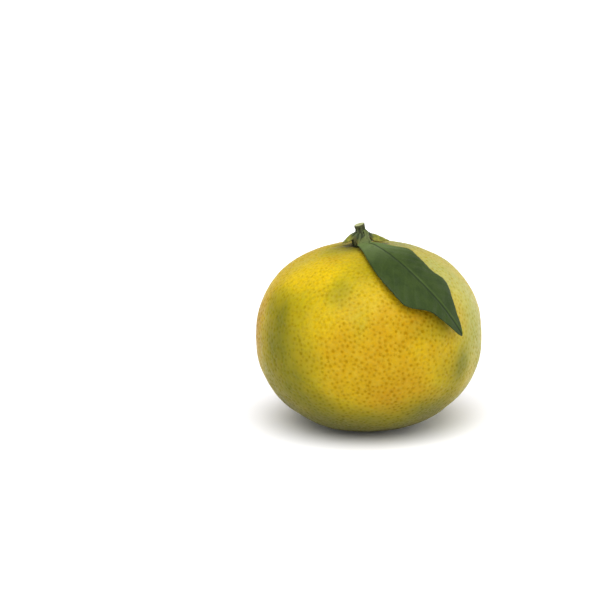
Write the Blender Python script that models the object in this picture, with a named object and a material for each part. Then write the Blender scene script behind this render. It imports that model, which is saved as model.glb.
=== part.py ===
"""Satsuma mandarin as picked: one fruit resting on its small flat spot, with its
star-shaped calyx, a short cut stem and one leaf.

Metres, +Z up. The origin is the middle of the flat spot that the fruit rests
on. The leaf hangs to the front (-Y) and to the right (+X).
"""

import math

import bmesh
import bpy
import numpy as np

MM = 0.001

# ---------------------------------------------------------------- dimensions
# All lengths in this block are millimetres.

# The fruit: an oblate body, flatter at the shoulders than a sphere.
EQUATOR_RADIUS = 33.0  # half of the 66 mm diameter
REST_HEIGHT = 26.0  # from the flat spot up to the widest section
CROWN_HEIGHT = 27.9  # from the widest section up to the crown
BASE_DEPTH = 26.95  # from the widest section down, before the flat spot
CROWN_SHAPE = 2.29  # exponent of the upper profile, 2 is an ellipse
BASE_SHAPE = 2.09  # exponent of the lower profile
AXIS_LEAN = math.radians(1.5)  # the crown leans this much towards -X
CENTRE_X = 0.41  # brings the middle of the flat spot onto the origin
LOBES = ((2, 0.22, 1.8), (3, 0.18, -0.6), (5, 0.09, 2.2))  # count, height, phase

# The hollow that the stem stands in, and the furrows that run out of it.
STEM_OFFSET = -2.2  # the stem stands this far from the fruit's own axis
HOLLOW_DEPTH = 0.9
HOLLOW_RADIUS = 5.5
FURROW_COUNT = 7
FURROW_DEPTH = 0.22
FURROW_AT = 7.5
FURROW_SPAN = 3.2

FRUIT_SEGMENTS = 60
FRUIT_RINGS = 32

# The calyx: a ring around the stem with five sepals that arch to the peel.
CALYX_BORE = 2.15
CALYX_WAIST = 2.75  # outer radius in the notches between sepals
CALYX_TOP = 30.8  # height of the ring's upper face above the widest section
CALYX_THICK = 0.75
CALYX_EDGE = 0.45
CALYX_HUB = 0.55  # wall of the solid button that the sepals grow out of
CLEARANCE = 0.34  # air left between neighbouring pieces
# direction in degrees from +X, reach from the stem, half width in degrees, arch,
# droop of the side edges
SEPALS = (
    (8.0, 7.9, 34.0, 1.30, 1.9),
    (72.0, 5.6, 29.0, 1.30, 1.0),
    (132.0, 5.2, 29.0, 1.35, 1.0),
    (193.0, 5.8, 30.0, 1.50, 0.4),
    (256.0, 3.5, 21.0, 1.10, 0.6),
)
CALYX_STEPS = 60

# The stem: a fluted stub with a slanting cut.
STEM_FOOT = 27.5  # above the widest section
STEM_CUT = 33.2
STEM_LEAN = -0.85  # sideways shift of the cut against the foot
STEM_CUT_SLOPE = math.radians(16.0)  # the cut falls towards -X
STEM_CUT_TILT = math.radians(7.0)  # and towards -Y
STEM_PROFILE = (  # height share, radius
    (0.0, 1.60),
    (0.14, 1.64),
    (0.30, 1.62),
    (0.48, 1.56),
    (0.68, 1.48),
    (0.82, 1.46),
    (0.93, 1.60),
    (1.0, 1.50),
)
STEM_FLUTES = 6
STEM_SIDES = 24

# The leaf: petiole and blade along one rib.
PETIOLE_PATH = (  # from the widest section's centre
    (-0.72, -1.75, 31.80),
    (-0.62, -2.50, 31.55),
    (-0.56, -3.25, 30.80),
    (-0.48, -3.60, 29.80),
    (0.02, -4.05, 28.95),
)
RIB_PATH = (
    (0.85, -5.10, 28.55),
    (2.80, -9.10, 28.30),
    (6.20, -14.4, 26.90),
    (10.1, -18.8, 24.50),
    (14.2, -22.0, 21.10),
    (18.5, -23.9, 16.90),
    (22.5, -24.6, 12.00),
    (25.9, -24.2, 6.50),
)
RIB_START = 0.64  # the blade's first station, along the rib
# distance along the blade's rib, half width
LEFT_HALF = (
    (0.0, 0.7), (0.5, 2.6), (1.3, 4.05), (2.4, 4.5), (4.0, 4.9), (7.0, 5.75), (10.5, 6.8), (14.0, 7.95),
    (17.0, 8.9), (20.0, 9.35), (24.0, 9.75), (27.0, 9.75), (28.5, 9.3),
    (30.5, 7.7), (32.0, 6.1), (34.0, 4.45), (36.0, 3.6), (38.0, 2.85),
    (40.0, 2.2), (42.0, 1.5), (43.6, 0.85),
)  # fmt: skip
RIGHT_HALF = (
    (0.0, 0.7), (2.7, 1.4), (4.8, 2.7), (6.8, 4.1), (8.4, 5.7), (10.0, 7.3),
    (12.0, 7.85), (15.0, 7.7), (19.0, 7.5), (23.0, 7.5), (26.0, 7.75),
    (28.0, 8.15), (30.0, 8.05), (31.5, 7.5), (33.0, 6.6), (34.5, 5.4),
    (36.5, 4.2), (38.5, 3.1), (41.0, 2.1), (43.0, 1.05),
)  # fmt: skip
# distance along the rib, height above the peel
RIB_LIFT = ((0, 1.25), (5, 1.3), (14, 1.5), (28, 1.8), (38, 2.4), (44, 3.0))
LEFT_LIFT = ((0, 1.3), (7, 1.3), (15, 1.6), (26, 2.3), (32, 2.5), (38, 2.6), (44, 3.0))
RIGHT_LIFT = (
    (0, 1.3), (8, 1.35), (14, 1.5), (22, 1.2), (30, 1.6), (38, 2.2), (44, 3.0),
)  # fmt: skip
BLADE_THICK = 0.5
PETIOLE_HALF_WIDTH = 0.65
PETIOLE_THICK = 1.0
ACROSS = (0.0, 0.2, 0.45, 0.7, 0.92, 1.0)  # shares of the half width
BLADE_STATIONS = 30

# -------------------------------------------------------------------- colours
FRUIT_COLOUR = (0.70, 0.43, 0.02, 1.0)
CALYX_COLOUR = (0.27, 0.28, 0.05, 1.0)
STEM_COLOUR = (0.12, 0.12, 0.05, 1.0)
LEAF_COLOUR = (0.055, 0.10, 0.028, 1.0)

CENTRE = np.array((CENTRE_X, 0.0, REST_HEIGHT))


def smooth_curve(stations, x):
    """A smooth curve through stations (x, y, ...), read at x."""
    table = np.asarray(stations, float)
    xs, ys = table[:, 0], table[:, 1:]
    x = np.clip(np.asarray(x, float), xs[0], xs[-1])
    slope = np.gradient(ys, xs, axis=0)
    i = np.clip(np.searchsorted(xs, x, side="right") - 1, 0, len(xs) - 2)
    h = (xs[i + 1] - xs[i])[..., None]
    u = (x - xs[i])[..., None] / h
    value = (
        (1 + 2 * u) * (1 - u) ** 2 * ys[i]
        + u * (1 - u) ** 2 * h * slope[i]
        + u * u * (3 - 2 * u) * ys[i + 1]
        + u * u * (u - 1) * h * slope[i + 1]
    )
    return value[..., 0] if value.shape[-1] == 1 else value


def unit(v):
    return v / np.linalg.norm(v, axis=-1, keepdims=True)


# Direction from the fruit's centre to the foot of the stem.
STEM_DIRECTION = unit(np.array((STEM_OFFSET, 0.0, CROWN_HEIGHT)))


def peel_radius(d):
    """Distance from the fruit's centre to the peel along unit directions d."""
    ct, st = math.cos(AXIS_LEAN), math.sin(AXIS_LEAN)
    x = d[:, 0] * ct + d[:, 2] * st
    y = d[:, 1]
    z = d[:, 2] * ct - d[:, 0] * st
    side = np.hypot(x, y)
    depth = np.where(z >= 0, CROWN_HEIGHT, BASE_DEPTH)
    power = np.where(z >= 0, CROWN_SHAPE, BASE_SHAPE)
    r = ((side / EQUATOR_RADIUS) ** power + (np.abs(z) / depth) ** power) ** (
        -1.0 / power
    )
    turn = np.arctan2(y, x)
    for count, height, phase in LOBES:
        r = r + height * side**2 * np.cos(count * turn - phase)
    away = np.arccos(np.clip(d @ STEM_DIRECTION, -1.0, 1.0)) * CROWN_HEIGHT
    around = np.arctan2(d[:, 1], d[:, 0] - STEM_DIRECTION[0])
    r = r - HOLLOW_DEPTH * np.exp(-((away / HOLLOW_RADIUS) ** 2))
    furrow = 0.5 - 0.5 * np.cos(FURROW_COUNT * around + 0.8 * np.sin(2 * around))
    return r - FURROW_DEPTH * furrow * np.exp(
        -(((away - FURROW_AT) / FURROW_SPAN) ** 2)
    )


def above_peel(p):
    """Height of points above the peel, measured from the fruit's centre."""
    r = np.linalg.norm(p, axis=1)
    return r - peel_radius(p / r[:, None])


def on_peel(p, lift):
    """The points of p moved along their own direction to lift above the peel."""
    d = unit(p)
    return d * (peel_radius(d) + lift)[:, None]


def peel_height(x, y):
    """Height of the peel over the widest section at x, y near the crown."""
    z = np.full(len(x), CROWN_HEIGHT)
    for _ in range(8):
        d = unit(np.stack((x, y, z), 1))
        z = peel_radius(d) * d[:, 2]
    return z


def peel_normal(p):
    slope = [
        above_peel(p + step) - above_peel(p - step) for step in np.eye(3) * 0.2
    ]
    return unit(np.stack(slope, 1))


# ------------------------------------------------------------------- building
def material(name, colour, roughness):
    made = bpy.data.materials.new(name)
    made.use_nodes = True
    shader = made.node_tree.nodes["Principled BSDF"]
    shader.inputs["Base Color"].default_value = colour
    shader.inputs["Roughness"].default_value = roughness
    shader.inputs["Metallic"].default_value = 0.0
    made.diffuse_color = colour
    return made


def add_object(name, bm, look, sharp=50.0):
    """A named object from bm, whose points are millimetres from CENTRE."""
    bmesh.ops.translate(bm, verts=bm.verts, vec=tuple(CENTRE))
    bmesh.ops.scale(bm, verts=bm.verts, vec=(MM, MM, MM))
    bmesh.ops.recalc_face_normals(bm, faces=bm.faces)
    mesh = bpy.data.meshes.new(name)
    bm.to_mesh(mesh)
    bm.free()
    mesh.shade_smooth()
    mesh.set_sharp_from_angle(angle=math.radians(sharp))
    mesh.materials.append(look)
    made = bpy.data.objects.new(name, mesh)
    bpy.context.scene.collection.objects.link(made)
    return made


def loft(rings, cap_ends=True, close_path=False):
    """A surface through rings of equal count, with flat caps at its ends."""
    bm = bmesh.new()
    rows = [[bm.verts.new(tuple(p)) for p in ring] for ring in rings]
    pairs = list(zip(rows[:-1], rows[1:]))
    if close_path:
        pairs.append((rows[-1], rows[0]))
    for a, b in pairs:
        n = len(a)
        for i in range(n):
            j = (i + 1) % n
            bm.faces.new((a[i], a[j], b[j], b[i]))
    if cap_ends and not close_path:
        bm.faces.new(rows[0][::-1])
        bm.faces.new(rows[-1])
    return bm


def build_fruit():
    bm = bmesh.new()
    bmesh.ops.create_uvsphere(
        bm, u_segments=FRUIT_SEGMENTS, v_segments=FRUIT_RINGS, radius=1.0
    )
    # The sphere's upper pole moves over to the stem, so that its rings follow
    # the hollow there, and its lower rings stay level for the flat spot.
    tip = math.atan2(STEM_DIRECTION[0], STEM_DIRECTION[2])
    d = np.array([v.co[:] for v in bm.verts])
    turn = tip * np.clip(0.5 + 0.5 * d[:, 2], 0.0, 1.0) ** 2
    c, s = np.cos(turn), np.sin(turn)
    d = np.stack((d[:, 0] * c + d[:, 2] * s, d[:, 1], d[:, 2] * c - d[:, 0] * s), 1)
    p = unit(d) * peel_radius(unit(d))[:, None]
    for v, co in zip(bm.verts, p):
        v.co = tuple(co)
    # The flat spot: everything below the resting plane is cut away.
    bmesh.ops.bisect_plane(
        bm,
        geom=bm.verts[:] + bm.edges[:] + bm.faces[:],
        plane_co=(0.0, 0.0, -REST_HEIGHT),
        plane_no=(0.0, 0.0, -1.0),
        clear_outer=True,
    )
    rim = [e for e in bm.edges if e.is_boundary]
    for v in {v for e in rim for v in e.verts}:
        v.co.z = -REST_HEIGHT
    bmesh.ops.holes_fill(bm, edges=rim, sides=0)
    return add_object("fruit", bm, material("peel", FRUIT_COLOUR, 0.42))


def step(low, high, x):
    u = np.clip((x - low) / (high - low), 0.0, 1.0)
    return u * u * (3 - 2 * u)


def sepal_blend(turn):
    """Reach, arch, droop, edge reach and place across the nearest sepal."""
    reach = arch = droop = weight = 0.0
    edge, across = CALYX_WAIST, 1.0
    for direction, length, half, bend, hang in SEPALS:
        off = (math.degrees(turn) - direction + 180.0) % 360.0 - 180.0
        share = math.exp(-((off / 24.0) ** 2)) + 1e-6
        reach += share * length
        arch += share * bend
        droop += share * hang
        weight += share
        if abs(off) < half:
            size = (1.0 - (abs(off) / half) ** 1.5) ** 0.9
            edge = max(edge, CALYX_WAIST + (length - CALYX_WAIST) * size)
        if abs(off) < abs(across) * half:
            across = off / half
    return reach / weight, arch / weight, droop / weight, edge, across


def build_calyx():
    centre_x = STEM_OFFSET
    rings = []
    for k in range(CALYX_STEPS):
        turn = 2 * math.pi * k / CALYX_STEPS
        reach, arch, droop, edge, across = sepal_blend(turn)
        wall = min(0.4, CALYX_HUB / (edge - CALYX_BORE))
        shares = np.r_[0.0, wall + (1.0 - wall) * np.linspace(0.0, 1.0, 4)]
        rho = CALYX_BORE + (edge - CALYX_BORE) * shares
        x = centre_x + rho * math.cos(turn)
        y = rho * math.sin(turn)
        u = np.clip((rho - CALYX_BORE) / (reach - CALYX_BORE), 0.0, 1.0)
        thick = CALYX_THICK + (CALYX_EDGE - CALYX_THICK) * u
        tip_x = np.array([centre_x + reach * math.cos(turn)])
        tip_y = np.array([reach * math.sin(turn)])
        low = peel_height(tip_x, tip_y)[0] + CALYX_EDGE + CLEARANCE + 0.08
        top = CALYX_TOP - (CALYX_TOP - low) * u**arch
        top = top - droop * abs(across) ** 1.6 * step(1.9, 4.2, rho)
        peel = peel_height(x, y)
        top = np.maximum(top, peel + thick + CLEARANCE)
        upper = np.stack((x, y, top), 1)
        # the button is solid down to the peel
        solid = step(3.3, 2.5, rho)
        below = (top - thick) * (1.0 - solid) + (peel + CLEARANCE) * solid
        under = np.stack((x, y, below), 1)
        rings.append(np.vstack((upper, under[::-1])))
    bm = loft(rings, close_path=True)
    return add_object("calyx", bm, material("sepal", CALYX_COLOUR, 0.6))


def build_stem():
    rings = []
    for share, radius in STEM_PROFILE:
        turn = np.linspace(0.0, 2 * math.pi, STEM_SIDES, endpoint=False)
        flute = 1.0 + 0.05 * (1.2 - share) * np.cos(STEM_FLUTES * turn + 0.6)
        x = radius * flute * np.cos(turn)
        y = radius * flute * np.sin(turn)
        slant = math.tan(STEM_CUT_SLOPE) * x + math.tan(STEM_CUT_TILT) * y
        z = STEM_FOOT + (STEM_CUT - STEM_FOOT) * share
        z = z + slant * max(0.0, (share - 0.5) / 0.5)
        lean = STEM_LEAN * share**2
        rings.append(np.stack((STEM_OFFSET + 0.1 + lean + x, y, z), 1))
    bm = loft(rings)
    return add_object("stem", bm, material("bark", STEM_COLOUR, 0.75), sharp=40.0)


def rib_station(path, t):
    """Point, tangent, surface normal and sideways axis of the rib at t."""
    m = smooth_curve(path, t)
    tangent = unit(smooth_curve(path, t + 0.05) - smooth_curve(path, t - 0.05))
    normal = peel_normal(m)
    normal = unit(normal - (normal * tangent).sum(1)[:, None] * tangent)
    return m, tangent, normal, np.cross(tangent, normal)


def blade_points(path, t, share, start, length):
    """Middle surface of the blade: share is -1 at the right edge, 1 at the left."""
    along = t - start
    m, _, normal, side = rib_station(path, t)
    left = share >= 0
    ends = ((length, 0.05),)
    half = np.where(
        left,
        smooth_curve(LEFT_HALF + ends, along),
        smooth_curve(RIGHT_HALF + ends, along),
    )
    rib = smooth_curve(RIB_LIFT, along)
    rim = np.where(
        left, smooth_curve(LEFT_LIFT, along), smooth_curve(RIGHT_LIFT, along)
    )
    lift = rib + (rim - rib) * np.abs(share) ** 1.5
    reach = share * half
    q = m + reach[:, None] * side
    for _ in range(3):
        p = on_peel(q, lift)
        q = q + (reach - ((p - m) * side).sum(1))[:, None] * side
    return on_peel(q, lift), normal


def build_leaf():
    points = np.array(PETIOLE_PATH + RIB_PATH)
    run = np.r_[0.0, np.cumsum(np.linalg.norm(np.diff(points, axis=0), axis=1))]
    path = np.column_stack((run, points))
    start = run[len(PETIOLE_PATH) - 1]
    total = run[-1]
    length = total - start + RIB_START
    shares = np.array(
        [-s for s in ACROSS[:0:-1]] + [0.0] + list(ACROSS[1:])
    )  # right edge to left edge
    rings = []
    # petiole: oval sections that widen into the blade
    for t in np.linspace(0.0, start - 0.25, 7):
        m, _, normal, side = rib_station(path, np.array([t]))
        bulge = np.sqrt(np.clip(1.0 - shares**2, 0.0, 1.0)) * PETIOLE_THICK / 2
        base = m + shares[:, None] * PETIOLE_HALF_WIDTH * side
        upper = base + bulge[:, None] * normal
        under = base - bulge[:, None] * normal
        rings.append(np.vstack((upper, under[-2:0:-1])))
    # blade
    stations = start + (total - 0.4 - start) * np.linspace(0.0, 1.0, BLADE_STATIONS)
    offset = start - RIB_START
    for t in stations:
        row = np.full(len(shares), t)
        mid, normal = blade_points(path, row, shares, offset, length)
        fade = math.exp(-((t - start) / 2.5))
        rib_thick = 0.5 * fade + 0.25 * (1.0 - (t - start) / (total - start))
        half = BLADE_THICK / 2 * np.where(np.abs(shares) > 0.95, 0.0, 1.0)
        keel = rib_thick * np.exp(-((shares / 0.16) ** 2))
        upper = mid + half[:, None] * normal
        under = mid - (half + keel)[:, None] * normal
        rings.append(np.vstack((upper, under[-2:0:-1])))
    bm = loft(rings)
    bm.verts.ensure_lookup_table()
    return add_object("leaf", bm, material("leaf_skin", LEAF_COLOUR, 0.45), sharp=60.0)


def main():
    for old in list(bpy.data.objects):
        bpy.data.objects.remove(old, do_unlink=True)
    build_fruit()
    build_calyx()
    build_stem()
    build_leaf()


main()
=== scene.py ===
"""Satsuma mandarin with one leaf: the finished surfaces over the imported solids.

Lengths in the shape functions are millimetres from the fruit's centre, which
is REST_HEIGHT above the table; meshes are written in metres.
"""

import math

import bmesh
import bpy
import numpy as np
from mathutils import Matrix, Vector, geometry, kdtree


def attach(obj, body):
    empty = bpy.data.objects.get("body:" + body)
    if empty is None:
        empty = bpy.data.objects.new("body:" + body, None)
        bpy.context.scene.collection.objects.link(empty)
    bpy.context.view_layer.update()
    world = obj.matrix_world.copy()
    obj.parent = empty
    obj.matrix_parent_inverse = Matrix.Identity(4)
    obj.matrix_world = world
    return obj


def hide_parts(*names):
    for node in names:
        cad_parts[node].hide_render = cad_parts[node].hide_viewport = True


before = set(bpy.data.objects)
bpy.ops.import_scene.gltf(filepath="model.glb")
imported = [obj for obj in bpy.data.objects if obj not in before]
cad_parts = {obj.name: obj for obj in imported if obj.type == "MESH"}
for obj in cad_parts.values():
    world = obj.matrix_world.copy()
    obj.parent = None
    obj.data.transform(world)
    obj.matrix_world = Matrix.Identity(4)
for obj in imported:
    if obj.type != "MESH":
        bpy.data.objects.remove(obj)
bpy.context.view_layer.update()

MM = 0.001

# ------------------------------------------------------------ shared geometry
EQUATOR_RADIUS = 33.0
REST_HEIGHT = 26.0
CROWN_HEIGHT = 27.9
BASE_DEPTH = 26.95
CROWN_SHAPE = 2.29
BASE_SHAPE = 2.09
AXIS_LEAN = math.radians(1.5)
CENTRE_X = 0.41
LOBES = ((2, 0.22, 1.8), (3, 0.18, -0.6), (5, 0.09, 2.2))

STEM_OFFSET = -2.2
HOLLOW_DEPTH = 0.9
HOLLOW_RADIUS = 5.5
FURROW_COUNT = 7
FURROW_DEPTH = 0.22
FURROW_AT = 7.5
FURROW_SPAN = 3.2

CALYX_WAIST = 2.75
CALYX_TOP = 30.8
# direction in degrees from +X, reach from the stem, half width in degrees, arch,
# droop of the side edges
SEPALS = (
    (8.0, 7.9, 34.0, 1.30, 1.9),
    (72.0, 5.6, 29.0, 1.30, 1.0),
    (132.0, 5.2, 31.0, 0.85, 1.2),
    (193.0, 5.8, 31.0, 1.50, 1.1),
    (256.0, 3.5, 21.0, 1.10, 0.6),
)

STEM_FOOT = 27.0
STEM_CUT = 33.2
STEM_LEAN = -0.85
STEM_CUT_SLOPE = math.radians(16.0)
STEM_CUT_TILT = math.radians(7.0)

PETIOLE_PATH = (
    (-1.35, -0.70, 31.55),
    (-0.86, -1.95, 31.15),
    (-0.76, -2.75, 30.45),
    (-0.55, -3.40, 29.60),
    (0.02, -4.05, 28.95),
)
RIB_PATH = (
    (0.85, -5.10, 28.55),
    (2.80, -9.10, 28.30),
    (6.20, -14.4, 26.90),
    (10.1, -18.8, 24.50),
    (14.2, -22.0, 21.10),
    (18.5, -23.9, 16.90),
    (22.5, -24.6, 12.00),
    (25.9, -24.2, 6.50),
)
RIB_START = 0.64
LEFT_HALF = (
    (0.0, 3.1), (0.5, 4.2), (1.3, 4.8), (2.4, 4.9), (4.0, 5.0), (7.0, 5.75),
    (10.5, 6.8), (14.0, 7.95), (17.0, 8.9), (20.0, 9.35), (24.0, 9.75),
    (27.0, 9.75), (28.5, 9.3), (30.5, 7.7), (32.0, 6.1), (34.0, 4.45),
    (36.0, 3.6), (38.0, 2.85), (40.0, 2.2), (42.0, 1.5), (43.6, 0.85),
)  # fmt: skip
RIGHT_HALF = (
    (0.0, 0.7), (2.7, 1.4), (4.8, 2.7), (6.8, 4.1), (8.4, 5.7), (10.0, 7.3),
    (12.0, 7.85), (15.0, 7.7), (19.0, 7.5), (23.0, 7.5), (26.0, 7.75),
    (28.0, 8.15), (30.0, 8.05), (31.5, 7.5), (33.0, 6.6), (34.5, 5.4),
    (36.5, 4.2), (38.5, 3.1), (41.0, 2.1), (43.0, 1.05),
)  # fmt: skip
RIB_LIFT = ((0, 1.25), (5, 1.3), (14, 1.5), (28, 1.8), (38, 2.4), (44, 3.0))
LEFT_LIFT = ((0, 1.3), (7, 1.3), (15, 1.6), (26, 2.3), (32, 2.5), (38, 2.6), (44, 3.0))
RIGHT_LIFT = (
    (0, 1.3), (8, 1.35), (14, 1.5), (22, 1.2), (30, 1.6), (38, 2.2), (44, 3.0),
)  # fmt: skip

CENTRE = np.array((CENTRE_X, 0.0, REST_HEIGHT))


def smooth_curve(stations, x):
    """A smooth curve through stations (x, y, ...), read at x."""
    table = np.asarray(stations, float)
    xs, ys = table[:, 0], table[:, 1:]
    x = np.clip(np.asarray(x, float), xs[0], xs[-1])
    slope = np.gradient(ys, xs, axis=0)
    i = np.clip(np.searchsorted(xs, x, side="right") - 1, 0, len(xs) - 2)
    h = (xs[i + 1] - xs[i])[..., None]
    u = (x - xs[i])[..., None] / h
    value = (
        (1 + 2 * u) * (1 - u) ** 2 * ys[i]
        + u * (1 - u) ** 2 * h * slope[i]
        + u * u * (3 - 2 * u) * ys[i + 1]
        + u * u * (u - 1) * h * slope[i + 1]
    )
    return value[..., 0] if value.shape[-1] == 1 else value


def unit(v):
    return v / np.linalg.norm(v, axis=-1, keepdims=True)


def bell(x):
    return np.exp(-(x**2))


def step(low, high, x):
    u = np.clip((x - low) / (high - low), 0.0, 1.0)
    return u * u * (3 - 2 * u)


STEM_DIRECTION = unit(np.array((STEM_OFFSET, 0.0, CROWN_HEIGHT)))


def from_stem(d):
    """Distance over the peel from the stem, and the direction around it."""
    away = np.arccos(np.clip(d @ STEM_DIRECTION, -1.0, 1.0)) * CROWN_HEIGHT
    return away, np.arctan2(d[:, 1], d[:, 0] - STEM_DIRECTION[0])


def peel_radius(d):
    """Distance from the fruit's centre to the peel along unit directions d."""
    ct, st = math.cos(AXIS_LEAN), math.sin(AXIS_LEAN)
    x = d[:, 0] * ct + d[:, 2] * st
    y = d[:, 1]
    z = d[:, 2] * ct - d[:, 0] * st
    side = np.hypot(x, y)
    depth = np.where(z >= 0, CROWN_HEIGHT, BASE_DEPTH)
    power = np.where(z >= 0, CROWN_SHAPE, BASE_SHAPE)
    r = ((side / EQUATOR_RADIUS) ** power + (np.abs(z) / depth) ** power) ** (
        -1.0 / power
    )
    turn = np.arctan2(y, x)
    for count, height, phase in LOBES:
        r = r + height * side**2 * np.cos(count * turn - phase)
    away, around = from_stem(d)
    r = r - HOLLOW_DEPTH * np.exp(-((away / HOLLOW_RADIUS) ** 2))
    furrow = 0.5 - 0.5 * np.cos(FURROW_COUNT * around + 0.8 * np.sin(2 * around))
    return r - FURROW_DEPTH * furrow * np.exp(
        -(((away - FURROW_AT) / FURROW_SPAN) ** 2)
    )


def above_peel(p):
    r = np.linalg.norm(p, axis=1)
    return r - peel_radius(p / r[:, None])


def on_peel(p, lift):
    d = unit(p)
    return d * (peel_radius(d) + lift)[:, None]


def peel_height(x, y):
    z = np.full(len(x), CROWN_HEIGHT)
    for _ in range(8):
        d = unit(np.stack((x, y, z), 1))
        z = peel_radius(d) * d[:, 2]
    return z


def peel_normal(p):
    slope = [above_peel(p + s) - above_peel(p - s) for s in np.eye(3) * 0.2]
    return unit(np.stack(slope, 1))


def ripples(seed, wavelength, count=28):
    """A smooth random function of points, about -1 to 1, from crossed waves."""
    rng = np.random.default_rng(seed)
    waves = unit(rng.normal(size=(count, 3)))
    waves *= (2 * math.pi / (wavelength * rng.uniform(0.7, 1.5, count)))[:, None]
    phases = rng.uniform(0, 2 * math.pi, count)

    def value(p):
        total = np.zeros(len(p))
        for w, f in zip(waves, phases):
            total += np.sin(p @ w + f)
        return total / math.sqrt(count) * 0.8

    return value


# ------------------------------------------------------------- mesh utilities
def make_object(name, points, faces, numbers=None):
    """A smooth mesh object from points in mm from CENTRE, with point numbers."""
    mesh = bpy.data.meshes.new(name)
    mesh.from_pydata(((points + CENTRE) * MM).tolist(), [], faces)
    mesh.validate()
    bm = bmesh.new()
    bm.from_mesh(mesh)
    bmesh.ops.recalc_face_normals(bm, faces=bm.faces)
    bm.to_mesh(mesh)
    bm.free()
    mesh.shade_smooth()
    for key, values in (numbers or {}).items():
        layer = mesh.attributes.new(key, "FLOAT", "POINT")
        layer.data.foreach_set("value", np.asarray(values, np.float32))
    mesh.update()
    made = bpy.data.objects.new(name, mesh)
    bpy.context.scene.collection.objects.link(made)
    return made


def ring_faces(rows, count, close_rows=False):
    """Quads between rows of count points each, every row closed on itself."""
    faces = []
    pairs = [(k, k + 1) for k in range(rows - 1)]
    if close_rows:
        pairs.append((rows - 1, 0))
    for a, b in pairs:
        for i in range(count):
            j = (i + 1) % count
            faces.append((a * count + i, a * count + j, b * count + j, b * count + i))
    return faces


# --------------------------------------------------------- material utilities
class Shader:
    """A new material and short calls that add nodes to it."""

    def __init__(self, name):
        self.material = bpy.data.materials.new(name)
        self.material.use_nodes = True
        self.tree = self.material.node_tree
        self.out = self.tree.nodes["Principled BSDF"]

    def node(self, kind, values=None, **settings):
        made = self.tree.nodes.new(kind)
        for key, value in settings.items():
            setattr(made, key, value)
        for key, value in (values or {}).items():
            if isinstance(value, bpy.types.NodeSocket):
                self.tree.links.new(value, made.inputs[key])
            else:
                made.inputs[key].default_value = value
        return made

    def number(self, name):
        return self.node("ShaderNodeAttribute", attribute_name=name).outputs["Fac"]

    def place(self):
        return self.node("ShaderNodeTexCoord").outputs["Object"]

    def noise(self, per_mm, detail=3.0, roughness=0.5, distortion=0.0, vector=None):
        """Noise with about per_mm features to the millimetre."""
        return self.node(
            "ShaderNodeTexNoise",
            {
                "Vector": vector or self.place(),
                "Scale": per_mm * 1000.0,
                "Detail": detail,
                "Roughness": roughness,
                "Distortion": distortion,
            },
        ).outputs["Fac"]

    def math(self, operation, a, b=0.0, clamp=False):
        return self.node(
            "ShaderNodeMath", {0: a, 1: b}, operation=operation, use_clamp=clamp
        ).outputs[0]

    def spread(self, value, low, high, to_low=0.0, to_high=1.0):
        return self.node(
            "ShaderNodeMapRange",
            {0: value, 1: low, 2: high, 3: to_low, 4: to_high},
            interpolation_type="SMOOTHSTEP",
        ).outputs[0]

    def mix(self, factor, a, b, blend="MIX"):
        made = self.node("ShaderNodeMix", data_type="RGBA", blend_type=blend)
        for index, value in ((0, factor), (6, a), (7, b)):
            if isinstance(value, bpy.types.NodeSocket):
                self.tree.links.new(value, made.inputs[index])
            elif index:
                made.inputs[index].default_value = (*value[:3], 1.0)
            else:
                made.inputs[index].default_value = value
        return made.outputs[2]

    def bump(self, height, distance_mm, strength=1.0, normal=None):
        values = {"Height": height, "Distance": distance_mm * MM, "Strength": strength}
        if normal:
            values["Normal"] = normal
        return self.node("ShaderNodeBump", values).outputs["Normal"]

    def feed(self, **inputs):
        """Sets sockets of the surface shader, by link or by value."""
        for key, value in inputs.items():
            socket = self.out.inputs[key.replace("_", " ")]
            if isinstance(value, bpy.types.NodeSocket):
                self.tree.links.new(value, socket)
            else:
                socket.default_value = value


# ------------------------------------------------------------------ the fruit
GLANDS = 5600
GOLDEN = math.pi * (3.0 - math.sqrt(5.0))


def gland_directions():
    """Directions of the oil glands: random, but evenly kept apart."""
    rng = np.random.default_rng(41)
    i = np.arange(GLANDS) + 0.5
    z = 1.0 - 2.0 * i / GLANDS
    side = np.sqrt(1.0 - z * z)
    spacing = math.sqrt(4.0 * math.pi / GLANDS)
    d = np.stack((side * np.cos(i * GOLDEN), side * np.sin(i * GOLDEN), z), 1)
    d = unit(d + rng.normal(0.0, 0.45 * spacing, d.shape))
    for _ in range(5):
        tree = kdtree.KDTree(GLANDS)
        for k, p in enumerate(d.tolist()):
            tree.insert(p, k)
        tree.balance()
        near = np.array(
            [[hit[1] for hit in tree.find_n(p, 8)][1:] for p in d.tolist()]
        )
        gap = d[:, None, :] - d[near]
        length = np.linalg.norm(gap, axis=2, keepdims=True) + 1e-9
        push = np.clip(1.02 * spacing - length, 0.0, None) / length * gap
        d = unit(d + 0.24 * push.sum(1))
    return d


def sphere_axes(d):
    """Two directions square to each d."""
    helper = np.where(np.abs(d[:, 2:3]) < 0.9, [[0.0, 0.0, 1.0]], [[1.0, 0.0, 0.0]])
    a = unit(np.cross(helper, d))
    return a, np.cross(d, a)


SCAR_EDGE = math.radians(3.6)
SCAR_SIDES = 48


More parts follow.
